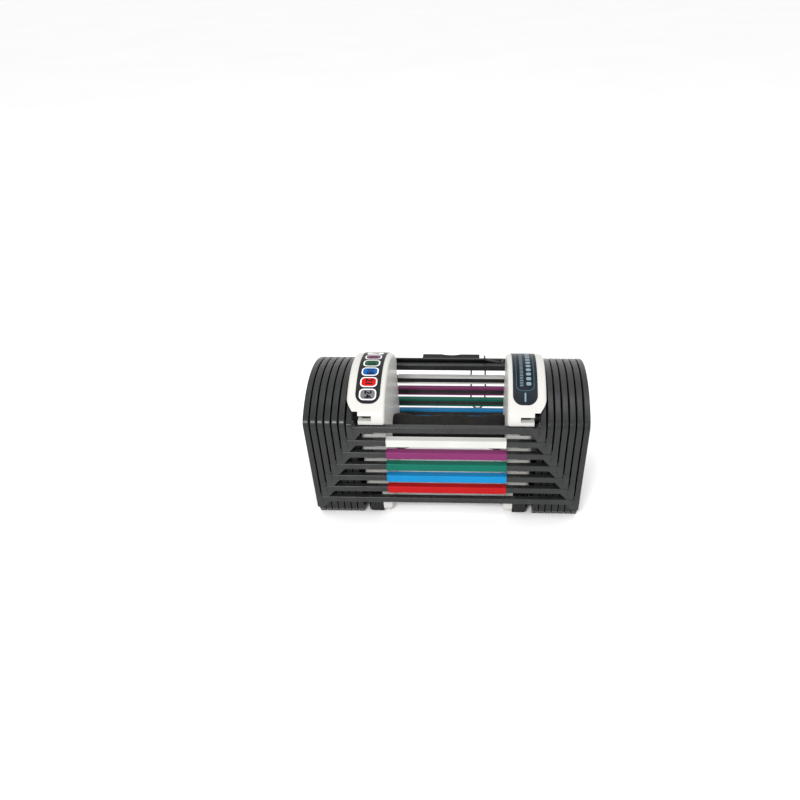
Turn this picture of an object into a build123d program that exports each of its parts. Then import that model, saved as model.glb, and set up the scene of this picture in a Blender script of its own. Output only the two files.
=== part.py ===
from build123d import *
import math
import os

os.makedirs("parts", exist_ok=True)

# Adjustable nested-block dumbbell, millimetres.
# X runs along the handle, -Y is the side the numbers are read from, Z is up, the floor is z = 0.

# Weight rings: each is two end plates joined by a front and a back rail
RINGS = 7
LENGTH = 273.0
PLATE_T = 5.6
PLATE_PITCH = 6.9
PLATE_HALF_W = 66.5
PLATE_SHOULDER_Z = 114.0
PLATE_CREST_Z = 135.5
PLATE_SHOULDER_R = 11.0
PLATE_EDGE_R = 0.9
PLATE_LOWER_HALF = 59.1
PLATE_FOOT_HALF = 55.5
PLATE_CHAMFER_Z = 6.0
INNER_PLATE_DROP = 1.1
INNER_SHOULDER_R = 2.5

RAIL_SIZE = 6.4
RAIL_Y = 62.6
RAIL_EDGE_R = 0.9
RAIL_LEVELS = [107.0, 92.2, 78.4, 64.6, 50.8, 37.0, 23.2]
KNUCKLE_TOP = 14.0
KNUCKLE_FOOT = 7.0
NEST_GAP = 0.35

SLEEVE_LENGTHS = {2: 116.6, 3: 118.2, 4: 119.3, 5: 120.4, 6: 120.4}
SLEEVE_T = 0.9

# Core: two moulded end blocks with a padded handle between them
CORE_IN = 58.5
BODY_OUT = 84.0
BODY_HALF_Y = 57.2
BODY_CORNER_R = 5.0
CAP_OUT = 95.2
CAP_HALF_Y = 62.0
CAP_BASE_Z = 110.8
CAP_SHOULDER_Z = 119.2
CAP_CREST_Z = 142.5
CAP_SHOULDER_R = 15.0
CAP_EDGE_R = 3.0
OVERHANG_Z = 122.4
OVERHANG_CUT = (7.0, 7.5)
FOOT_R = 9.0

CHANNEL_IN = 71.0
CHANNEL_H = 4.8
PIN_TOP_LEVEL = 116.6
PIN_LOW_LEVEL = 16.6

KEEPER_IN = 68.0
KEEPER_BOTTOM = 2.5
KEEPER_TOP = 27.7

BALLAST_IN = 61.5
BALLAST_OUT = 67.0
BALLAST_HALF_Y = 44.0
BALLAST_Z = (30.0, 98.0)

HANDLE_Z = 65.0
BAR_R = 12.5
BAR_BORE_R = 10.0
BAR_END = 9.0
GRIP_MID_R = 17.5
GRIP_WAIST_R = 17.0
GRIP_HUMP_R = 18.8
GRIP_END_R = 17.5
BOLT_R = 3.0
BOLT_HEAD_R = 4.8
BOLT_HEAD_T = 4.0

LABEL_X = 75.0
LABEL_W = 23.5
LABEL_FRONT_Y = -51.5
LABEL_BACK_Y = 59.0
LABEL_R = 9.0
LABEL_T = 0.5

# Selector pin
PRONG_IN = 71.4
PRONG_OUT = 81.6
PRONG_H = 4.2
PRONG_TIP_Y = -56.0
STRAP_Y = 68.0
STRAP_T = 2.8
STRAP_BOTTOM = 105.4
STRAP_TOP = 113.0
PIN_GRIP_HALF = 31.0
PIN_GRIP_Y = 81.5
MAGNET_R = 3.4
MAGNET_Z = 108.0

# Tether cord
CORD_D = 1.8
KNOT_R = 2.6
CORD_ROUTE = [
    (53.3, 57.5, 115.6),
    (36.0, 59.0, 116.0),
    (36.5, 77.3, 115.2),
    (37.5, 78.8, 96.0),
    (38.3, 77.8, 76.0),
    (38.0, 78.4, 58.0),
    (34.3, 77.8, 47.5),
    (25.7, 78.1, 47.0),
    (21.7, 78.0, 57.0),
    (22.2, 77.2, 78.0),
    (22.0, 77.2, 101.1),
]
CLIP_R = 2.1
CLIP_BOTTOM = 101.4

# The pin stands behind the rails, so the whole is moved forward to centre its overall depth on the origin
CENTRE_SHIFT_Y = -7.4


def ring_half_length(k):
    return LENGTH / 2 - (RINGS - k) * PLATE_PITCH


def levels():
    low = [PIN_TOP_LEVEL]
    for a, b in zip(RAIL_LEVELS, RAIL_LEVELS[1:]):
        low.append((a + b) / 2)
    low.append(PIN_LOW_LEVEL)
    return low


def box_between(x0, x1, y0, y1, z0, z1):
    centre = Vector((x0 + x1) / 2, (y0 + y1) / 2, (z0 + z1) / 2)
    return Pos(centre) * Box(abs(x1 - x0), abs(y1 - y0), abs(z1 - z0))


def prism_x(face, x0, x1):
    """Extrude a face drawn in the YZ plane from x0 to x1."""
    solid = extrude(face, amount=x1 - x0)
    return Pos(x0, 0, 0) * solid


def yz_face(points, arc_mid):
    """Closed YZ outline: straight runs through points, then an arc back to the start."""
    line = Polyline(*points)
    arc = ThreePointArc(points[-1], arc_mid, points[0])
    return Plane.YZ * make_face(Curve() + [line, arc])


def plate(k, side):
    """One end plate of ring k: domed top, full width down to its own rail, narrower below."""
    top = RAIL_LEVELS[k - 1] + RAIL_SIZE / 2
    bottom = RAIL_LEVELS[k - 1] - RAIL_SIZE / 2
    drop = INNER_PLATE_DROP if k == 1 else 0.0
    shoulder = PLATE_SHOULDER_Z - drop
    crest = PLATE_CREST_Z - drop
    weld = RAIL_Y - RAIL_SIZE / 2
    right = [
        (PLATE_HALF_W, shoulder),
        (PLATE_HALF_W, top),
        (weld, top),
        (weld, bottom),
        (PLATE_LOWER_HALF, bottom),
        (PLATE_LOWER_HALF, PLATE_CHAMFER_Z),
        (PLATE_FOOT_HALF, 0),
    ]
    if bottom <= PLATE_CHAMFER_Z + 0.5:
        right = right[:5] + right[6:]
    left = [(-y, z) for y, z in reversed(right)]
    face = yz_face(right + left, (0, crest))
    outer = ring_half_length(k)
    solid = prism_x(face, outer - PLATE_T, outer)
    corners = solid.edges().filter_by(Axis.X).filter_by(lambda e: abs(e.center().Z - shoulder) < 0.01)
    solid = fillet(corners, PLATE_SHOULDER_R if k > 1 else INNER_SHOULDER_R)
    rim = [e for e in solid.edges() if abs(e.tangent_at(0.5).X) < 0.01 and e.center().Z > top + 1.0]
    solid = fillet(rim, PLATE_EDGE_R)
    if side < 0:
        solid = mirror(solid, Plane.YZ)
    return solid


def rail(k, side):
    """Square bar along X with a flared foot at each end that stands over the next rail."""
    half = ring_half_length(k)
    z = RAIL_LEVELS[k - 1]
    bar = Pos(0, RAIL_Y, z) * Box(2 * half, RAIL_SIZE, RAIL_SIZE)
    bar = fillet(bar.edges().filter_by(Axis.X), RAIL_EDGE_R)
    below = RAIL_LEVELS[k] if k < RINGS else z - 13.8
    foot_z = below + RAIL_SIZE / 2 + NEST_GAP
    flat = z - RAIL_SIZE / 2 + RAIL_EDGE_R
    outline = Polyline(
        (half, flat),
        (half, foot_z),
        (half - KNUCKLE_FOOT, foot_z),
        (half - KNUCKLE_TOP, flat),
        close=True,
    )
    face = Plane.XZ * make_face(outline)
    foot = Pos(0, RAIL_Y + RAIL_SIZE / 2, 0) * extrude(face, amount=RAIL_SIZE)
    foot = fillet(foot.edges().filter_by(Axis.Y).filter_by(lambda e: e.center().Z < foot_z + 0.1), 1.2)
    solid = bar + foot + mirror(foot, Plane.YZ)
    if side < 0:
        solid = mirror(solid, Plane.XZ)
    return solid


def sleeve(k, side):
    """Colour sleeve that clips over the outside, top and bottom of a rail."""
    z = RAIL_LEVELS[k - 1]
    inner = RAIL_Y - RAIL_SIZE / 2
    outer = RAIL_Y + RAIL_SIZE / 2 + SLEEVE_T
    half_h = RAIL_SIZE / 2 + SLEEVE_T
    length = SLEEVE_LENGTHS[k]
    shell = box_between(-length / 2, length / 2, inner, outer, z - half_h, z + half_h)
    outside = shell.edges().filter_by(Axis.X).filter_by(lambda e: e.center().Y > inner + 1)
    shell = fillet(outside, 1.4)
    core = Pos(0, RAIL_Y, z) * Box(length + 4, RAIL_SIZE, RAIL_SIZE)
    shell = shell - fillet(core.edges().filter_by(Axis.X), RAIL_EDGE_R)
    shell = shell.solids().sort_by(SortBy.VOLUME)[-1]
    if side < 0:
        shell = mirror(shell, Plane.XZ)
    return shell


def cap_profile(grow=0.0):
    """Side outline of the domed cap in the YZ plane."""
    y = CAP_HALF_Y + grow
    points = [(y, CAP_SHOULDER_Z), (y, CAP_BASE_Z), (-y, CAP_BASE_Z), (-y, CAP_SHOULDER_Z)]
    return yz_face(points, (0, CAP_CREST_Z + grow))


def cap_solid(x0, x1, grow=0.0):
    solid = prism_x(cap_profile(grow), x0, x1)
    corners = solid.edges().filter_by(Axis.X).filter_by(lambda e: abs(e.center().Z - CAP_SHOULDER_Z) < 0.01)
    return fillet(corners, CAP_SHOULDER_R + grow)


def body_prism(z0, z1):
    """Rounded upright column of the finned lower body, on the +X side."""
    solid = box_between(CORE_IN, BODY_OUT, -BODY_HALF_Y, BODY_HALF_Y, z0, z1)
    upright = solid.edges().filter_by(Axis.Z)
    outer = upright.filter_by(lambda e: e.center().X > BODY_OUT - 0.1)
    inner = upright.filter_by(lambda e: e.center().X < CORE_IN + 0.1)
    solid = fillet(outer, BODY_CORNER_R)
    inner = solid.edges().filter_by(Axis.Z).filter_by(lambda e: e.center().X < CORE_IN + 0.1)
    return fillet(inner, 1.5)


def channel(z, x0=CHANNEL_IN):
    return box_between(x0, CAP_OUT + 5, -80, 80, z - CHANNEL_H / 2, z + CHANNEL_H / 2)


def keeper_blank():
    blank = body_prism(KEEPER_BOTTOM, KEEPER_TOP)
    return blank & box_between(KEEPER_IN, BODY_OUT + 1, -80, 80, KEEPER_BOTTOM, KEEPER_TOP)


def overhang_corner():
    """Wedge that slopes off the lower outer edge of the overhang."""
    outline = Polyline(
        (CAP_OUT + 1, OVERHANG_Z - 1),
        (CAP_OUT - OVERHANG_CUT[0], OVERHANG_Z - 1),
        (CAP_OUT + 1, OVERHANG_Z + OVERHANG_CUT[1]),
        close=True,
    )
    return Pos(0, 80, 0) * extrude(Plane.XZ * make_face(outline), amount=160)


def end_block():
    """Right-hand end block: domed cap that overhangs the first plate, fins and pin channels below."""
    cap = cap_solid(CORE_IN, CAP_OUT)
    rim = [
        e
        for e in cap.edges()
        if abs(e.tangent_at(0.5).X) < 0.01 and e.center().Z > CAP_BASE_Z + 1.0
    ]
    cap = fillet(rim, CAP_EDGE_R)
    clear = box_between(BODY_OUT, CAP_OUT + 5, -80, 80, CAP_BASE_Z - 10, OVERHANG_Z)
    inner_crest = PLATE_CREST_Z - INNER_PLATE_DROP + 0.8
    inner_shoulder = PLATE_SHOULDER_Z - INNER_PLATE_DROP + 0.8
    dome = yz_face(
        [(PLATE_HALF_W, inner_shoulder), (PLATE_HALF_W, 95), (-PLATE_HALF_W, 95), (-PLATE_HALF_W, inner_shoulder)],
        (0, inner_crest),
    )
    cap = cap - clear - prism_x(dome, BODY_OUT, CAP_OUT + 5) - overhang_corner()
    body = body_prism(0, CAP_BASE_Z)
    low = body.edges().filter_by(Axis.Y).filter_by(lambda e: e.center().Z < 0.1)
    body = fillet(low.filter_by(lambda e: e.center().X < CORE_IN + 0.1), FOOT_R)
    low = body.edges().filter_by(Axis.Y).filter_by(lambda e: e.center().Z < 0.1 and e.center().X > BODY_OUT - 0.1)
    if len(low) > 0:
        body = fillet(low, 2.0)
    solid = cap + body
    for z in levels():
        solid = solid - channel(z)
    solid = solid - keeper_blank()
    solid = solid - box_between(
        BALLAST_IN, BALLAST_OUT, -BALLAST_HALF_Y, BALLAST_HALF_Y, BALLAST_Z[0], BALLAST_Z[1]
    )
    seat = Pos((CORE_IN + BALLAST_IN) / 2, 0, HANDLE_Z) * Rot(0, 90, 0) * Cylinder(BAR_R, BALLAST_IN - CORE_IN)
    solid = solid - seat
    head_x = CHANNEL_IN - BOLT_HEAD_T
    solid = solid - cylinder_x(BOLT_HEAD_R, head_x, CAP_OUT)
    solid = solid - cylinder_x(BOLT_R, CORE_IN, CAP_OUT)
    return solid


def cylinder_x(radius, x0, x1):
    return Pos((x0 + x1) / 2, 0, HANDLE_Z) * Rot(0, 90, 0) * Cylinder(radius, abs(x1 - x0))


def keeper():
    """Dark steel liner around the lowest pin channel."""
    return keeper_blank() - channel(PIN_LOW_LEVEL, CHANNEL_IN)


def ballast():
    block = box_between(BALLAST_IN, BALLAST_OUT, -BALLAST_HALF_Y, BALLAST_HALF_Y, BALLAST_Z[0], BALLAST_Z[1])
    return block - cylinder_x(BOLT_R, CORE_IN, CAP_OUT)


def handle_bar():
    bar = cylinder_x(BAR_R, -BALLAST_IN, BALLAST_IN)
    bar = bar - cylinder_x(BAR_BORE_R, -BALLAST_IN + BAR_END, BALLAST_IN - BAR_END)
    bar = bar - cylinder_x(BOLT_R, BALLAST_IN - BAR_END, BALLAST_IN + 1)
    return bar - cylinder_x(BOLT_R, -BALLAST_IN - 1, -BALLAST_IN + BAR_END)


def grip():
    """Padded grip: slight crown in the middle, a hump before each end."""
    half = CORE_IN - 0.2
    top = Spline(
        (-half, GRIP_END_R),
        (-half + 6, GRIP_HUMP_R),
        (-half + 19, GRIP_WAIST_R),
        (0, GRIP_MID_R),
        (half - 19, GRIP_WAIST_R),
        (half - 6, GRIP_HUMP_R),
        (half, GRIP_END_R),
    )
    rest = Polyline((half, GRIP_END_R), (half, BAR_R), (-half, BAR_R), (-half, GRIP_END_R))
    face = Plane.XZ * make_face(Curve() + [top, rest])
    solid = revolve(face, axis=Axis.X, revolution_arc=360)
    return Pos(0, 0, HANDLE_Z) * solid


def handle_bolt():
    head_x = CHANNEL_IN - BOLT_HEAD_T
    head = cylinder_x(BOLT_HEAD_R, head_x, CHANNEL_IN - 0.6)
    hexagon = Plane.YZ * RegularPolygon(2.6, 6)
    recess = Pos(CHANNEL_IN - 2.6, 0, HANDLE_Z) * extrude(hexagon, amount=4)
    shank = cylinder_x(BOLT_R, BALLAST_IN - BAR_END + 0.5, head_x)
    return head + shank - recess


def label():
    """Thin strip that follows the cap's dome, on the +X side."""
    skin = cap_solid(CORE_IN, CAP_OUT, LABEL_T) - cap_solid(CORE_IN - 1, CAP_OUT + 1)
    outline = RectangleRounded(LABEL_W, LABEL_BACK_Y - LABEL_FRONT_Y, LABEL_R)
    plan = Pos(LABEL_X, (LABEL_BACK_Y + LABEL_FRONT_Y) / 2, CAP_BASE_Z) * extrude(outline, amount=60)
    skin = skin & plan
    return skin.solids().sort_by(SortBy.VOLUME)[-1]


def pin_frame():
    """Flat steel U: two prongs that pass under the chosen rails, joined by a dropped back strap."""
    solid = box_between(-PRONG_OUT, PRONG_OUT, STRAP_Y, STRAP_Y + STRAP_T, STRAP_BOTTOM, STRAP_TOP)
    z0 = PIN_TOP_LEVEL - PRONG_H / 2
    z1 = PIN_TOP_LEVEL + PRONG_H / 2
    for side in (-1, 1):
        a = side * PRONG_IN
        b = side * PRONG_OUT
        prong = box_between(a, b, PRONG_TIP_Y, STRAP_Y + STRAP_T, z0, z1)
        tip = prong.edges().filter_by(Axis.Z).filter_by(lambda e: e.center().Y < PRONG_TIP_Y + 0.1)
        prong = fillet(tip, 3.0)
        tab = box_between(a, b, STRAP_Y, STRAP_Y + STRAP_T, STRAP_BOTTOM, z1)
        solid = solid + prong + tab
    return solid


def pin_handle():
    """Moulded pull bar on the strap."""
    z0 = STRAP_BOTTOM
    z1 = STRAP_TOP
    bar = box_between(-PIN_GRIP_HALF, PIN_GRIP_HALF, STRAP_Y + STRAP_T, PIN_GRIP_Y, z0, z1)
    bar = fillet(bar.edges().filter_by(lambda e: e.center().Y > PIN_GRIP_Y - 0.1), 2.5)
    scoop = Pos(0, PIN_GRIP_Y + 24, (z0 + z1) / 2) * Cylinder(28.0, 30)
    return bar - scoop


def pin_magnet():
    gap = 0.3
    front = RAIL_Y + RAIL_SIZE / 2 + gap
    length = STRAP_Y - front
    x = (PRONG_IN + PRONG_OUT) / 2
    return Pos(x, front + length / 2, MAGNET_Z) * Rot(90, 0, 0) * Cylinder(MAGNET_R, length)


def tether_cord():
    """Thin cord: straight runs joined by tangent arcs."""
    radii = []
    for a, b, c in zip(CORD_ROUTE, CORD_ROUTE[1:], CORD_ROUTE[2:]):
        first = Vector(b) - Vector(a)
        second = Vector(c) - Vector(b)
        turn = math.radians(first.get_angle(second))
        radii.append(0.45 * min(first.length, second.length) / math.tan(turn / 2))
    path = FilletPolyline(*CORD_ROUTE, radius=radii)
    start = Plane(origin=CORD_ROUTE[0], z_dir=path.tangent_at(0))
    return sweep(start * Circle(CORD_D / 2), path=path)


def tether_knot():
    """Knot pulled up against the inner wall of the right-hand block."""
    x, y, z = CORD_ROUTE[0]
    knot = Pos((x + CORE_IN) / 2, y, z) * Rot(0, 90, 0) * Cylinder(KNOT_R, CORE_IN - x)
    return fillet(knot.edges().filter_by(GeomType.CIRCLE), 1.1)


def tether_clip():
    x, y, z = CORD_ROUTE[-1]
    barrel = Pos(x, y, (CLIP_BOTTOM + STRAP_BOTTOM) / 2) * Cylinder(CLIP_R, STRAP_BOTTOM - CLIP_BOTTOM)
    return fillet(barrel.edges().sort_by(Axis.Z)[0], 0.6)


def mirrored(solid):
    return mirror(solid, Plane.YZ)


def save(name, shape):
    solids = shape.solids()
    total = sum(s.volume for s in solids)
    print(name, len(solids), round(total, 1))
    export_step(Pos(0, CENTRE_SHIFT_Y, 0) * shape, f"parts/{name}.step")


def main():
    for k in range(1, RINGS + 1):
        save(f"plate_left_{k}", plate(k, -1))
        save(f"plate_right_{k}", plate(k, 1))
        save(f"rail_front_{k}", rail(k, -1))
        save(f"rail_back_{k}", rail(k, 1))
        if k in SLEEVE_LENGTHS:
            save(f"sleeve_front_{k}", sleeve(k, -1))
            save(f"sleeve_back_{k}", sleeve(k, 1))
    block = end_block()
    save("end_block_right", block)
    save("end_block_left", mirrored(block))
    save("keeper_right", keeper())
    save("keeper_left", mirrored(keeper()))
    save("ballast_right", ballast())
    save("ballast_left", mirrored(ballast()))
    save("handle_bar", handle_bar())
    save("grip", grip())
    save("handle_bolt_right", handle_bolt())
    save("handle_bolt_left", mirrored(handle_bolt()))
    save("plain_label", label())
    save("weight_chart_label", mirrored(label()))
    save("tether_knot", tether_knot())
    save("tether_cord", tether_cord())
    save("pin_frame", pin_frame())
    save("pin_handle", pin_handle())
    save("pin_magnet_right", pin_magnet())
    save("pin_magnet_left", mirrored(pin_magnet()))
    save("tether_clip", tether_clip())


main()
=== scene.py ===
# Looks, labels, tether and weld beads for the nested-block dumbbell.
# X runs along the handle, -Y is the front and Z is up.
# Places on the part are in mm, times MM for the scene's metres.

import math

import bmesh
import bpy
from mathutils import Matrix, Vector


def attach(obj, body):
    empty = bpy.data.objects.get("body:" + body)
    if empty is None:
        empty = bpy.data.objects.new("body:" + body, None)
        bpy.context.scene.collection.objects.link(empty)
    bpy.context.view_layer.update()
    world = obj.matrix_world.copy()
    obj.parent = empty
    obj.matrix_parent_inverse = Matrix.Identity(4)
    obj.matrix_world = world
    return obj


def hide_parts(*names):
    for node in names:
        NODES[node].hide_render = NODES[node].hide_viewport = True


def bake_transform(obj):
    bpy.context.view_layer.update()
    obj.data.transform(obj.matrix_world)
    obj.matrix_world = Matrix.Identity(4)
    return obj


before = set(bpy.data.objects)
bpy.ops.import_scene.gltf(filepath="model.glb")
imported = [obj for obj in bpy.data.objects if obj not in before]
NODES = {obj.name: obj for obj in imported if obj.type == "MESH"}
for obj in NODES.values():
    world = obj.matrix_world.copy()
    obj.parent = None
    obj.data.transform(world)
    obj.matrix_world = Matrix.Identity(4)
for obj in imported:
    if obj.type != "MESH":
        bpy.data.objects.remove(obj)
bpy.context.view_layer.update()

MM = 0.001
SCENE = bpy.context.scene

# The part is moved forward by this much to centre its depth on the origin
CENTRE_Y = -7.4

# ---------------------------------------------------------------- camera

CAMERA_PLACE = (0.0307, -0.6247, 0.4574)
CAMERA_AZIMUTH = -2.382
CAMERA_ELEVATION = 44.048
CAMERA_ROLL = -0.667
CAMERA_LENS = 30.303
CAMERA_SENSOR = 36.0
CAMERA_SHIFT = (-0.0693, 0.2125)
CAMERA_CLIP = (0.02, 50.0)


def make_camera():
    azimuth = math.radians(CAMERA_AZIMUTH)
    elevation = math.radians(CAMERA_ELEVATION)
    roll = math.radians(CAMERA_ROLL)
    forward = Vector(
        (
            math.sin(azimuth) * math.cos(elevation),
            math.cos(azimuth) * math.cos(elevation),
            -math.sin(elevation),
        )
    )
    right = forward.cross(Vector((0, 0, 1))).normalized()
    up = right.cross(forward)
    rolled_right = math.cos(roll) * right + math.sin(roll) * up
    rolled_up = -math.sin(roll) * right + math.cos(roll) * up
    data = bpy.data.cameras.new("camera")
    data.lens = CAMERA_LENS
    data.sensor_width = CAMERA_SENSOR
    data.shift_x, data.shift_y = CAMERA_SHIFT
    data.clip_start, data.clip_end = CAMERA_CLIP
    camera = bpy.data.objects.new("camera", data)
    SCENE.collection.objects.link(camera)
    turn = Matrix((rolled_right, rolled_up, -forward)).transposed().to_4x4()
    camera.matrix_world = Matrix.Translation(CAMERA_PLACE) @ turn
    SCENE.camera = camera


make_camera()

# ---------------------------------------------------------------- materials

RINGS = 7
COAT_ROUGHNESS = 0.24
PEBBLES_PER_METRE = 950.0
# How far apart the bevelled and the true normal are (their dot product) on a flat and on an edge
FLAT_DOT = 0.995
EDGE_DOT = 0.93


def tone(r, g, b):
    """An sRGB display colour, 0 to 255, as a linear colour."""
    out = []
    for c in (r, g, b):
        c = c / 255
        out.append(c / 12.92 if c <= 0.04045 else ((c + 0.055) / 1.055) ** 2.4)
    return (*out, 1.0)


class Look:
    """A node material: colour, roughness and bump each varied over the surface at a real scale."""

    def __init__(self, name, roughness=0.4, metallic=0.0, coat=0.0, specular=0.5, sheen=0.0):
        self.material = bpy.data.materials.new(name)
        self.material.use_nodes = True
        self.tree = self.material.node_tree
        self.tree.nodes.clear()
        self.shader = self.add("ShaderNodeBsdfPrincipled")
        self.shader.inputs["Roughness"].default_value = roughness
        self.shader.inputs["Metallic"].default_value = metallic
        self.shader.inputs["Coat Weight"].default_value = coat
        self.shader.inputs["Coat Roughness"].default_value = COAT_ROUGHNESS
        self.shader.inputs["Specular IOR Level"].default_value = specular
        self.shader.inputs["Sheen Weight"].default_value = sheen
        output = self.add("ShaderNodeOutputMaterial")
        self.tree.links.new(self.shader.outputs[0], output.inputs[0])
        self.place = self.add("ShaderNodeTexCoord").outputs["Object"]
        self.height = None

    def add(self, kind, **settings):
        node = self.tree.nodes.new(kind)
        for key, value in settings.items():
            setattr(node, key, value)
        return node

    def join(self, a, b):
        self.tree.links.new(a, b)

    def noise(self, size, detail=3.0, stretch=(1, 1, 1), rough=0.55):
        """Noise whose features are about size metres across."""
        mapping = self.add("ShaderNodeMapping")
        mapping.inputs["Scale"].default_value = [s / size for s in stretch]
        self.join(self.place, mapping.inputs[0])
        texture = self.add("ShaderNodeTexNoise")
        texture.inputs["Scale"].default_value = 1.0
        texture.inputs["Detail"].default_value = detail
        texture.inputs["Roughness"].default_value = rough
        self.join(mapping.outputs[0], texture.inputs["Vector"])
        return texture.outputs[0]

    def span(self, value, low, high, a, b):
        """Maps value from low..high to a..b."""
        node = self.add("ShaderNodeMapRange")
        for key, v in (("From Min", low), ("From Max", high), ("To Min", a), ("To Max", b)):
            node.inputs[key].default_value = v
        self.join(value, node.inputs[0])
        return node.outputs[0]

    def colours(self, value, stops):
        """A colour ramp driven by value."""
        ramp = self.add("ShaderNodeValToRGB")
        elements = ramp.color_ramp.elements
        while len(elements) < len(stops):
            elements.new(0.5)
        for element, (position, colour) in zip(elements, stops):
            element.position = position
            element.color = colour
        self.join(value, ramp.inputs[0])
        return ramp.outputs[0]

    def math(self, kind, a, b):
        """Arithmetic on two values, either of which may be a plain number."""
        node = self.add("ShaderNodeMath", operation=kind)
        for socket, v in zip(node.inputs, (a, b)):
            if isinstance(v, (int, float)):
                socket.default_value = v
            else:
                self.join(v, socket)
        return node.outputs[0]

    def mix(self, amount, colour, other):
        """colour towards other by amount."""
        node = self.add("ShaderNodeMix", data_type="RGBA")
        self.join(amount, node.inputs[0])
        self.join(colour, node.inputs[6])
        node.inputs[7].default_value = other
        return node.outputs[2]

    def edges(self, radius):
        """1 along sharp edges, 0 on flats: how far a bevelled normal leans from the true one."""
        bevel = self.add("ShaderNodeBevel", samples=6)
        bevel.inputs["Radius"].default_value = radius
        flat = self.add("ShaderNodeNewGeometry")
        dot = self.add("ShaderNodeVectorMath", operation="DOT_PRODUCT")
        self.join(bevel.outputs[0], dot.inputs[0])
        self.join(flat.outputs["Normal"], dot.inputs[1])
        return self.span(dot.outputs["Value"], FLAT_DOT, EDGE_DOT, 0.0, 1.0)

    def paint(self, colour):
        self.join(colour, self.shader.inputs["Base Color"])
        return self

    def gloss(self, value):
        self.join(value, self.shader.inputs["Roughness"])
        return self

    def bump(self, value, depth, strength=1.0):
        """Stacks a bump of the given depth in metres."""
        node = self.add("ShaderNodeBump")
        node.inputs["Strength"].default_value = strength
        node.inputs["Distance"].default_value = depth
        self.join(value, node.inputs["Height"])
        if self.height is not None:
            self.join(self.height, node.inputs["Normal"])
        self.height = node.outputs[0]
        self.join(self.height, self.shader.inputs["Normal"])
        return self


def moulded(name, base, roughness=0.32, variation=0.04, grain=0.00006, coat=0.0, specular=0.13):
    """Moulded plastic: faint flow variation, fine skin and light handling marks."""
    look = Look(name, roughness, coat=coat, specular=specular)
    dark = tuple(c * (1 - variation) for c in base[:3]) + (1,)
    light = tuple(min(1, c * (1 + variation)) for c in base[:3]) + (1,)
    flow = look.noise(size=0.03, detail=2)
    look.paint(look.colours(flow, [(0.35, dark), (0.65, light)]))
    handled = look.noise(size=0.006, detail=4)
    look.gloss(look.span(handled, 0.35, 0.7, roughness - 0.06, roughness + 0.1))
    look.bump(look.noise(size=0.0007, detail=2), depth=grain, strength=0.5)
    return look


def powder(name, base, roughness=0.42, wear=0.0):
    """Powder-coated steel: fine orange peel, slight mottling and edges rubbed lighter by wear."""
    look = Look(name, roughness, specular=0.18, coat=0.3)
    dark = tuple(c * 0.78 for c in base[:3]) + (1,)
    light = tuple(min(1, c * 1.22) for c in base[:3]) + (1,)
    bare = tuple(min(1, c * 2.2 + 0.012) for c in base[:3]) + (1,)
    mottled = look.colours(look.noise(size=0.011, detail=5), [(0.3, dark), (0.52, base), (0.74, light)])
    if wear:
        rubbed = look.edges(radius=0.0014)
        scuffed = look.span(look.noise(size=0.006, detail=4), 0.42, 0.66, 0.15, 1.0)
        amount = look.math("MULTIPLY", look.math("MULTIPLY", rubbed, scuffed), wear)
        mottled = look.mix(amount, mottled, bare)
    look.paint(mottled)
    handled = look.noise(size=0.004, detail=4)
    look.gloss(look.span(handled, 0.3, 0.72, roughness - 0.1, roughness + 0.12))
    look.bump(look.noise(size=0.0012, detail=3), depth=0.00012, strength=0.55)
    look.bump(look.noise(size=0.009, detail=2), depth=0.00025, strength=0.35)
    return look


def give(look, *names):
    """Puts a look on CAD nodes or pieces."""
    for name in names:
        obj = NODES[name] if isinstance(name, str) else name
        if not obj.material_slots:
            obj.data.materials.append(look.material)
        for holder in obj.material_slots:
            holder.link = "OBJECT"
            holder.material = look.material


plate_look = powder("plate_powder_coat", tone(29, 30, 30), 0.38, wear=0.5)
rail_look = powder("rail_powder_coat", tone(37, 38, 38), 0.32, wear=0.35)
for k in range(1, RINGS + 1):
    give(plate_look, f"plate_left_{k}", f"plate_right_{k}")
    give(rail_look, f"rail_front_{k}", f"rail_back_{k}")

sleeve_tones = {
    2: ("white", tone(198, 198, 194)),
    3: ("purple", tone(116, 42, 92)),
    4: ("green", tone(2, 98, 80)),
    5: ("blue", tone(8, 122, 178)),
    6: ("red", tone(168, 12, 16)),
}
for k, (word, base) in sleeve_tones.items():
    sleeve_look = moulded(f"sleeve_{word}", base, 0.36, variation=0.03)
    give(sleeve_look, f"sleeve_front_{k}", f"sleeve_back_{k}")

white_plastic = moulded("white_moulding", tone(196, 195, 191), 0.36, variation=0.012, coat=0.05)
give(white_plastic, "end_block_left", "end_block_right")
black_steel = powder("black_gloss_steel", tone(14, 14, 15), 0.26)
give(black_steel, "keeper_left", "keeper_right", "pin_frame")
cast = powder("ballast_steel", tone(90, 90, 92), 0.6)
give(cast, "ballast_left", "ballast_right")


def brushed(name, base, roughness, stretch):
    """Bare metal with fine streaks; stretch under 1 draws them out along that axis."""
    look = Look(name, roughness, metallic=1.0)
    streak = look.noise(size=0.0006, detail=4, stretch=stretch)
    dark = tuple(c * 0.8 for c in base[:3]) + (1,)
    look.paint(look.colours(streak, [(0.3, dark), (0.7, base)]))
    look.gloss(look.span(streak, 0.3, 0.7, roughness - 0.08, roughness + 0.1))
    look.bump(streak, depth=0.00004, strength=0.4)
    return look


turned_steel = brushed("turned_steel", tone(190, 190, 194), 0.32, (1, 0.1, 0.1))
give(turned_steel, "handle_bar", "handle_bolt_left", "handle_bolt_right")
nickel = brushed("nickel_magnet", tone(200, 200, 205), 0.22, (1, 1, 1))
give(nickel, "pin_magnet_left", "pin_magnet_right")


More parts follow.
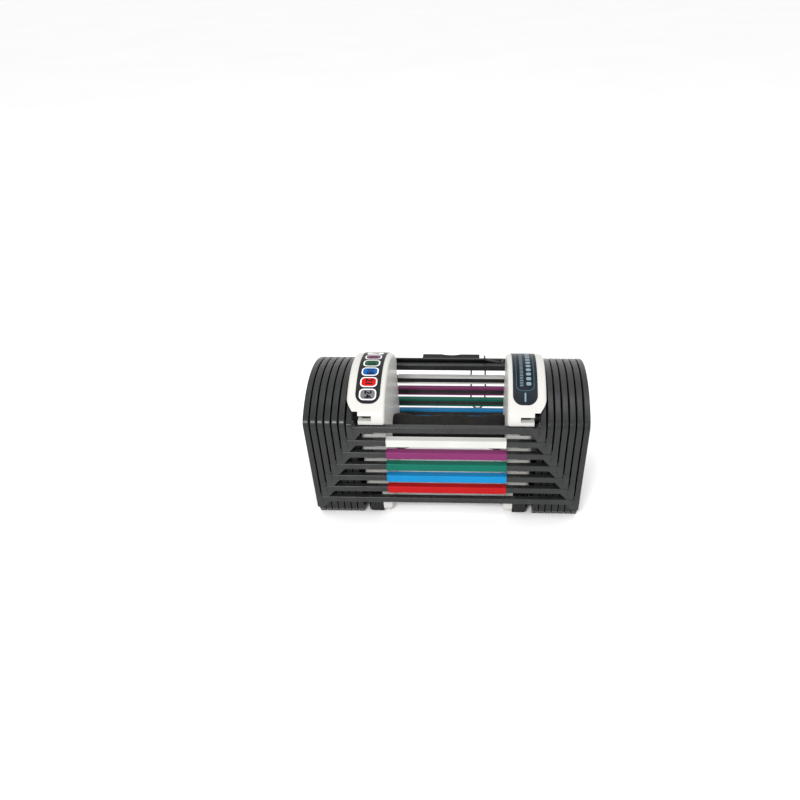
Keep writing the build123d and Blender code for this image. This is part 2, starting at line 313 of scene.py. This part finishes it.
def rubber():
    """Soft grip: near-black brown with a fine leather-like pebble, duller and shinier in patches."""
    look = Look("grip_rubber", 0.66, specular=0.16)
    stops = [(0.3, tone(16, 15, 14)), (0.6, tone(22, 21, 20)), (0.8, tone(29, 28, 26))]
    look.paint(look.colours(look.noise(size=0.012, detail=4), stops))
    look.gloss(look.span(look.noise(size=0.005, detail=3), 0.3, 0.7, 0.5, 0.72))
    cells = look.add("ShaderNodeTexVoronoi", feature="SMOOTH_F1")
    cells.inputs["Scale"].default_value = PEBBLES_PER_METRE
    look.join(look.place, cells.inputs["Vector"])
    look.bump(cells.outputs["Distance"], depth=0.00025, strength=0.55)
    look.bump(look.noise(size=0.0025, detail=3), depth=0.00016, strength=0.4)
    return look


give(rubber(), "grip")
pin_plastic = moulded("pin_plastic", tone(18, 18, 19), 0.5, variation=0.08, grain=0.0001)
give(pin_plastic, "pin_handle", "tether_clip")
chart_base = moulded("chart_film", tone(24, 25, 28), 0.38, variation=0.06, grain=0.00003)
give(chart_base, "weight_chart_label")
badge_base = moulded("badge_film", tone(18, 26, 34), 0.36, variation=0.06, grain=0.00003)
give(badge_base, "plain_label")

# ---------------------------------------------------------------- labels that follow the cap's dome

# The cap's side outline: one wide arc over the top, and a smaller arc at each shoulder
CAP_R = 94.139
CAP_CREST = 142.5
CAP_CENTRE_Z = CAP_CREST - CAP_R
SHOULDER_R = 15.0
SHOULDER_Y = 47.0
SHOULDER_Z = 112.032
# Angle at which the shoulder takes over from the top
TURN = math.asin(SHOULDER_Y / (CAP_R - SHOULDER_R))

# Label film, and the height of one layer of print
FILM = 0.5
PRINT = 0.04
# Prints are split this finely along the label, so that they bend with it
PATCH_STEP = 1.2
CORNER_STEPS = 8
TEXT_STEP = 0.8


def dome(x, s, h):
    """Point h mm above the cap, s mm along the label from the crest, minus towards the front."""
    r = CAP_R + FILM
    side = 1 if s >= 0 else -1
    far = abs(s)
    bend = TURN * r
    if far <= bend:
        angle = far / r
        y = math.sin(angle) * (CAP_R + h)
        z = CAP_CENTRE_Z + math.cos(angle) * (CAP_R + h)
    else:
        angle = TURN + (far - bend) / (SHOULDER_R + FILM)
        y = SHOULDER_Y + math.sin(angle) * (SHOULDER_R + h)
        z = SHOULDER_Z + math.cos(angle) * (SHOULDER_R + h)
    return Vector((x, side * y + CENTRE_Y, z)) * MM


def add_object(name, mesh, look, body, smooth=True):
    obj = bpy.data.objects.new(name, mesh)
    SCENE.collection.objects.link(obj)
    mesh.materials.append(look.material)
    if smooth:
        for polygon in mesh.polygons:
            polygon.use_smooth = True
    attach(obj, body)
    return obj


def patch_rows(bm, x, s, wide, long, corner, h):
    """A rounded rectangle laid on the dome, as rows of quads. Each row is a place t and a half width w."""
    half_w = wide / 2
    half_l = long / 2
    straight = long - 2 * corner
    first = []
    for i in reversed(range(CORNER_STEPS + 1)):
        a = math.radians(90 * i / CORNER_STEPS)
        first.append((-half_l + corner * (1 - math.sin(a)), half_w - corner * (1 - math.cos(a))))
    steps = max(3, int(straight / PATCH_STEP))
    middle = [(-half_l + corner + straight * j / steps, half_w) for j in range(1, steps)]
    last = [(-t, w) for t, w in reversed(first)]
    previous = None
    for t, w in first + middle + last:
        pair = [bm.verts.new(dome(x - w, s + t, h)), bm.verts.new(dome(x + w, s + t, h))]
        if previous:
            bm.faces.new((previous[0], previous[1], pair[1], pair[0]))
        previous = pair


def patches(name, items, look, body):
    """One printed piece of several rounded rectangles, each x, s, wide, long, corner, h."""
    bm = bmesh.new()
    for item in items:
        patch_rows(bm, *item)
    mesh = bpy.data.meshes.new(name)
    bm.to_mesh(mesh)
    bm.free()
    return add_object(name, mesh, look, body)


NUMBER_SIZE = 8.8
NUMBER_BOLD = 0.3
NUMBER_SPACING = 1.02
NUMBER_TALL = 1.05


def numeral(name, text, x, s, size, h, look):
    """A number printed on the chart, read along the label."""
    curve = bpy.data.curves.new(name, "FONT")
    # Thickening breaks up the font's 6, so a 9 turned over stands for it
    turned = -1 if text == "6" else 1
    curve.body = "9" if text == "6" else text
    curve.size = size
    curve.align_x = "CENTER"
    curve.align_y = "CENTER"
    curve.offset = NUMBER_BOLD
    curve.space_character = NUMBER_SPACING
    holder = bpy.data.objects.new(name + "_text", curve)
    SCENE.collection.objects.link(holder)
    bpy.context.view_layer.update()
    mesh = bpy.data.meshes.new_from_object(holder.evaluated_get(bpy.context.evaluated_depsgraph_get()))
    bpy.data.objects.remove(holder)
    bm = bmesh.new()
    bm.from_mesh(mesh)
    reach = max(abs(v.co.x) for v in bm.verts)
    cuts = int(reach / TEXT_STEP) + 1
    for i in range(-cuts, cuts + 1):
        everything = bm.verts[:] + bm.edges[:] + bm.faces[:]
        bmesh.ops.bisect_plane(bm, geom=everything, plane_co=(i * TEXT_STEP, 0, 0), plane_no=(1, 0, 0))
    for v in bm.verts:
        v.co = dome(x + turned * v.co.y * NUMBER_TALL, s - turned * v.co.x, h)
    bm.to_mesh(mesh)
    bm.free()
    mesh.name = name
    return add_object(name, mesh, look, "core", smooth=False)


def printed(name, colour):
    return moulded(name, colour, 0.35, variation=0.03, grain=0.00002, specular=0.1)


CHART_X = -75.0
FIRST_PILL = -45.0
PILL_PITCH = 14.6
# Width, length and corner of a pill and of the white shape under it
PILL = (14.0, 10.2, 3.4)
PILL_OUTLINE = (16.4, 12.6, 4.4)
paper = printed("print_white", tone(232, 232, 230))
ink = printed("print_black", tone(8, 8, 10))
chart = [
    ("24", tone(104, 104, 108), ink),
    ("21", tone(186, 6, 8), ink),
    ("18", tone(0, 84, 156), ink),
    ("15", tone(0, 74, 46), ink),
    ("12", tone(100, 38, 80), ink),
    ("9", tone(206, 206, 202), ink),
    ("6", tone(14, 14, 16), paper),
    ("3", tone(84, 86, 90), ink),
]
outline = []
for i, (number, colour, letter) in enumerate(chart):
    s = FIRST_PILL + PILL_PITCH * i
    outline.append((CHART_X, s, *PILL_OUTLINE, FILM + PRINT))
    fill = printed(f"pill_{number}", colour)
    patches(f"chart_pill_{number}", [(CHART_X, s, *PILL, FILM + 2 * PRINT)], fill, "core")
    numeral(f"chart_number_{number}", number, CHART_X, s, NUMBER_SIZE, FILM + 3 * PRINT, letter)
patches("chart_pill_outlines", outline, paper, "core")

BADGE_X = 75.0
BADGE_S = -1.5
# Each width, length and corner
BADGE_EDGE = (17.6, 76.0, 6.4)
BADGE_PANEL = (16.2, 74.6, 5.8)
BADGE_BLOCK = (4.6, 4.2, 1.2)
BADGE_TICK = (3.4, 0.8, 0.35)
BADGE_STROKE = (1.5, 10.0, 0.7)
BLOCKS = 10
FIRST_BLOCK = -31.0
BLOCK_PITCH = 6.6
TICKS = 30
FIRST_TICK = -33.6
TICK_PITCH = 2.2
STROKE_AT = -46.6
# The blocks and the ticks run side by side, this far from the label's middle
ROW_SIDE = 3.4

edge_line = printed("print_teal", tone(52, 84, 100))
panel = printed("print_slate", tone(12, 18, 26))
bars = printed("print_pale", tone(118, 140, 150))
patches("badge_edge", [(BADGE_X, BADGE_S, *BADGE_EDGE, FILM + PRINT)], edge_line, "core")
patches("badge_panel", [(BADGE_X, BADGE_S, *BADGE_PANEL, FILM + 2 * PRINT)], panel, "core")
top_print = FILM + 3 * PRINT
rows = [(BADGE_X + ROW_SIDE, FIRST_BLOCK + BLOCK_PITCH * i, *BADGE_BLOCK, top_print) for i in range(BLOCKS)]
rows += [(BADGE_X - ROW_SIDE, FIRST_TICK + TICK_PITCH * i, *BADGE_TICK, top_print) for i in range(TICKS)]
rows.append((BADGE_X, STROKE_AT, *BADGE_STROKE, FILM + PRINT))
patches("badge_bars", rows, bars, "core")

# ---------------------------------------------------------------- tether

ROUTE = [
    (53.3, 57.5, 115.6),
    (36.0, 59.0, 116.0),
    (36.5, 77.3, 115.2),
    (37.5, 78.8, 96.0),
    (38.3, 77.8, 76.0),
    (38.0, 78.4, 58.0),
    (34.3, 77.8, 47.5),
    (25.7, 78.1, 47.0),
    (21.7, 78.0, 57.0),
    (22.2, 77.2, 78.0),
    (22.0, 77.2, 101.1),
]


def spline_points(points):
    """Points along a smooth spline with the route's points as its control points."""
    data = bpy.data.curves.new("route", "CURVE")
    data.dimensions = "3D"
    spline = data.splines.new("NURBS")
    spline.points.add(len(points) - 1)
    for target, p in zip(spline.points, points):
        target.co = (*p, 1.0)
    spline.order_u = 3
    spline.use_endpoint_u = True
    spline.resolution_u = 12
    holder = bpy.data.objects.new("route", data)
    SCENE.collection.objects.link(holder)
    bpy.context.view_layer.update()
    mesh = bpy.data.meshes.new_from_object(holder.evaluated_get(bpy.context.evaluated_depsgraph_get()))
    line = [v.co.copy() for v in mesh.vertices]
    bpy.data.objects.remove(holder)
    bpy.data.meshes.remove(mesh)
    return line


# Two directions with a larger dot product than this count as one
PARALLEL = 0.98


def tube_mesh(name, line, radius, sides=12, closed=False, braid=0.0, lay=0.0035):
    """A tube along a line. Braid sinks grooves between three helical strands, a pattern lay metres long."""
    bm = bmesh.new()
    normal = Vector((0, 0, 1))
    count = len(line)
    rings = []
    travelled = 0.0
    for i, p in enumerate(line):
        before = line[i - 1] if i > 0 or closed else p
        after = line[(i + 1) % count] if i < count - 1 or closed else p
        ahead = (after - before).normalized()
        if i > 0:
            travelled += (p - line[i - 1]).length
        if i == 0 and abs(ahead.dot(normal)) > PARALLEL:
            normal = Vector((1, 0, 0))
        normal = (normal - ahead * normal.dot(ahead)).normalized()
        across = ahead.cross(normal)
        ring = []
        for j in range(sides):
            a = 2 * math.pi * j / sides
            r = radius * (1 + braid * (math.cos(3 * a + travelled / lay * math.tau) - 1))
            ring.append(bm.verts.new(p + r * (math.cos(a) * normal + math.sin(a) * across)))
        rings.append(ring)
    pairs = list(zip(rings, rings[1:]))
    if closed:
        pairs.append((rings[-1], rings[0]))
    for a, b in pairs:
        for j in range(sides):
            bm.faces.new((a[j], a[(j + 1) % sides], b[(j + 1) % sides], b[j]))
    if not closed:
        bm.faces.new(list(reversed(rings[0])))
        bm.faces.new(rings[-1])
    mesh = bpy.data.meshes.new(name)
    bm.to_mesh(mesh)
    bm.free()
    for polygon in mesh.polygons:
        polygon.use_smooth = True
    return mesh


def cord_look():
    look = Look("braided_cord", 0.7, specular=0.35, sheen=0.3)
    threads = look.noise(size=0.0008, detail=4)
    look.paint(look.colours(threads, [(0.35, tone(20, 20, 21)), (0.65, tone(44, 44, 46))]))
    look.gloss(look.span(look.noise(size=0.001, detail=3), 0.3, 0.7, 0.6, 0.82))
    look.bump(look.noise(size=0.0004, detail=3), depth=0.00012, strength=0.7)
    return look


# A little over half the cord's diameter, because the braid's grooves lie below it
CORD_R = 0.95
braid = cord_look()
route = [Vector((x, y + CENTRE_Y, z)) * MM for x, y, z in ROUTE]
line = spline_points(route)
cord = bpy.data.objects.new("tether", tube_mesh("tether", line, CORD_R * MM, 12, braid=0.05))
SCENE.collection.objects.link(cord)
cord.data.materials.append(braid.material)
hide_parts("tether_cord")
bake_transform(cord)

# The overhand knot is a trefoil curve against the end block's inner wall
KNOT_CENTRE = (55.9, 57.5, 115.6)
KNOT_WIDE = 0.56
KNOT_DEEP = 0.95
KNOT_CORD_R = 0.85
KNOT_POINTS = 72

knot_line = []
for i in range(KNOT_POINTS):
    t = math.tau * i / KNOT_POINTS
    across = (math.sin(t) + 2 * math.sin(2 * t)) * KNOT_WIDE
    up = (math.cos(t) - 2 * math.cos(2 * t)) * KNOT_WIDE
    along = -math.sin(3 * t) * KNOT_DEEP
    x, y, z = KNOT_CENTRE
    knot_line.append(Vector((x + along, y + CENTRE_Y + across, z + up)) * MM)
knot_mesh = tube_mesh("tether_overhand_knot", knot_line, KNOT_CORD_R * MM, 10, closed=True)
knot = bpy.data.objects.new("tether_overhand_knot", knot_mesh)
SCENE.collection.objects.link(knot)
knot.data.materials.append(braid.material)
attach(knot, "core")
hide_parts("tether_knot")

# ---------------------------------------------------------------- weld beads

LENGTH = 273.0
PLATE_PITCH = 6.9
PLATE_T = 5.6
RAIL_SIZE = 6.4
RAIL_Y = 62.6
RAIL_IN = RAIL_Y - RAIL_SIZE / 2
RAIL_OUT = RAIL_Y + RAIL_SIZE / 2
RAIL_LEVELS = [107.0, 92.2, 78.4, 64.6, 50.8, 37.0, 23.2]
BEAD_STEP = 0.45
BEAD_SIDES = 10


def bead(bm, a, b, radius, seed):
    """A lumpy weld bead from a to b, in mm, round at both ends."""
    a = Vector(a)
    b = Vector(b)
    ahead = (b - a).normalized()
    side = ahead.cross(Vector((0, 0, 1)) if abs(ahead.z) < 0.9 else Vector((1, 0, 0))).normalized()
    up = side.cross(ahead)
    count = max(6, int((b - a).length / BEAD_STEP))
    rings = []
    for i in range(count + 1):
        t = i / count
        taper = math.sqrt(max(0.02, 1 - abs(2 * t - 1) ** 3))
        lump = 0.86 + 0.14 * math.sin(t * count * 1.55 + seed) + 0.08 * math.sin(t * count * 0.6 + 2.1 * seed)
        ring = []
        for j in range(BEAD_SIDES):
            angle = math.tau * j / BEAD_SIDES
            r = radius * taper * lump * (1 + 0.07 * math.sin(3 * angle + seed + 4 * t))
            p = a + (b - a) * t + r * (math.cos(angle) * side + math.sin(angle) * up)
            ring.append(bm.verts.new(Vector((p.x, p.y + CENTRE_Y, p.z)) * MM))
        rings.append(ring)
    for low, high in zip(rings, rings[1:]):
        for j in range(BEAD_SIDES):
            bm.faces.new((low[j], low[(j + 1) % BEAD_SIDES], high[(j + 1) % BEAD_SIDES], high[j]))
    bm.faces.new(list(reversed(rings[0])))
    bm.faces.new(rings[-1])


def bead_runs(k, corner, outer, level):
    """Beads where a rail meets its plate, each a start, an end and a radius, for the corner at +X and +Y.

    corner is the plate's inner face and outer its outer face.
    """
    top = level + RAIL_SIZE / 2
    foot = level - RAIL_SIZE / 2 - 3.2
    y_top = RAIL_OUT - 0.6
    y_face = RAIL_OUT - 0.35
    y_side = RAIL_OUT - 0.4
    runs = [
        ((corner - 0.1, RAIL_IN + 0.4, top + 0.3), (corner - 0.1, y_top, top + 0.3), 1.1),
        ((corner - 0.6, y_face, top - 0.5), (outer - 0.6, y_face, top - 0.5), 1.15),
        ((corner - 0.2, y_side, top + 0.2), (corner - 0.2, y_side, foot), 1.1),
        ((corner - 0.1, y_top, top - 0.2), (corner - 0.1, y_top, top + 4.4), 1.0),
    ]
    if k == 1:
        y_lump = RAIL_OUT - 1.2
        runs += [
            ((corner - 1.6, RAIL_IN + 0.2, top + 0.8), (corner - 1.6, RAIL_OUT - 0.9, top + 0.8), 1.8),
            ((corner - 0.7, RAIL_OUT - 1.9, top + 0.2), (corner - 0.7, RAIL_OUT - 2.2, top + 6.4), 1.9),
            ((corner - 3.4, y_lump, top - 0.6), (corner - 0.4, RAIL_OUT - 1.1, top + 2.2), 1.7),
            ((corner - 2.6, y_lump, top + 0.3), (corner - 0.8, y_lump, top - 6.6), 1.6),
        ]
    return runs


weld_look = powder("weld_powder_coat", tone(30, 31, 31), 0.18, wear=0.2)
for k, level in enumerate(RAIL_LEVELS, start=1):
    outer = LENGTH / 2 - (RINGS - k) * PLATE_PITCH
    bm = bmesh.new()
    for sx in (-1, 1):
        for sy in (-1, 1):
            seed = 1.7 * k + 0.9 * sx + 2.3 * sy
            for i, (a, b, radius) in enumerate(bead_runs(k, outer - PLATE_T, outer, level)):
                bead(bm, (sx * a[0], sy * a[1], a[2]), (sx * b[0], sy * b[1], b[2]), radius, seed + i)
    mesh = bpy.data.meshes.new(f"weld_beads_{k}")
    bm.to_mesh(mesh)
    bm.free()
    add_object(f"weld_beads_{k}", mesh, weld_look, f"ring_{k}")

# ---------------------------------------------------------------- floor, lights


FLOOR_HALF = 60.0
FLOOR_Z = -0.0002


def make_stage():
    mesh = bpy.data.meshes.new("floor")
    corners = [(-1, -1), (1, -1), (1, 1), (-1, 1)]
    mesh.from_pydata([(x * FLOOR_HALF, y * FLOOR_HALF, FLOOR_Z) for x, y in corners], [], [(0, 1, 2, 3)])
    floor = bpy.data.objects.new("floor", mesh)
    SCENE.collection.objects.link(floor)
    look = Look("pale_floor", 0.75, specular=0.1)
    stops = [(0.3, tone(250, 250, 250)), (0.7, tone(252, 252, 252))]
    look.paint(look.colours(look.noise(size=0.4, detail=2), stops))
    mesh.materials.append(look.material)


def area(name, place, target, size, power):
    """A rectangular lamp at place, turned towards target."""
    data = bpy.data.lights.new(name, "AREA")
    data.shape = "RECTANGLE"
    data.size, data.size_y = size
    data.energy = power
    lamp = bpy.data.objects.new(name, data)
    SCENE.collection.objects.link(lamp)
    lamp.location = place
    lamp.rotation_euler = (Vector(target) - Vector(place)).to_track_quat("-Z", "Y").to_euler()


make_stage()
world = bpy.data.worlds.new("studio")
world.use_nodes = True
world.node_tree.nodes["Background"].inputs[0].default_value = (1.0, 1.0, 1.0, 1.0)
world.node_tree.nodes["Background"].inputs[1].default_value = 1.0
SCENE.world = world
area("key", place=(-0.35, -1.25, 1.1), target=(0, 0, 0.06), size=(0.36, 0.2), power=14)
area("top", place=(0.1, 0.3, 1.5), target=(0, 0, 0.05), size=(0.9, 0.5), power=4)
area("side", place=(1.3, -0.5, 0.8), target=(0, 0, 0.08), size=(0.3, 0.7), power=3)
SCENE.view_settings.view_transform = "Standard"
SCENE.view_settings.look = "None"
SCENE.view_settings.exposure = 0.0
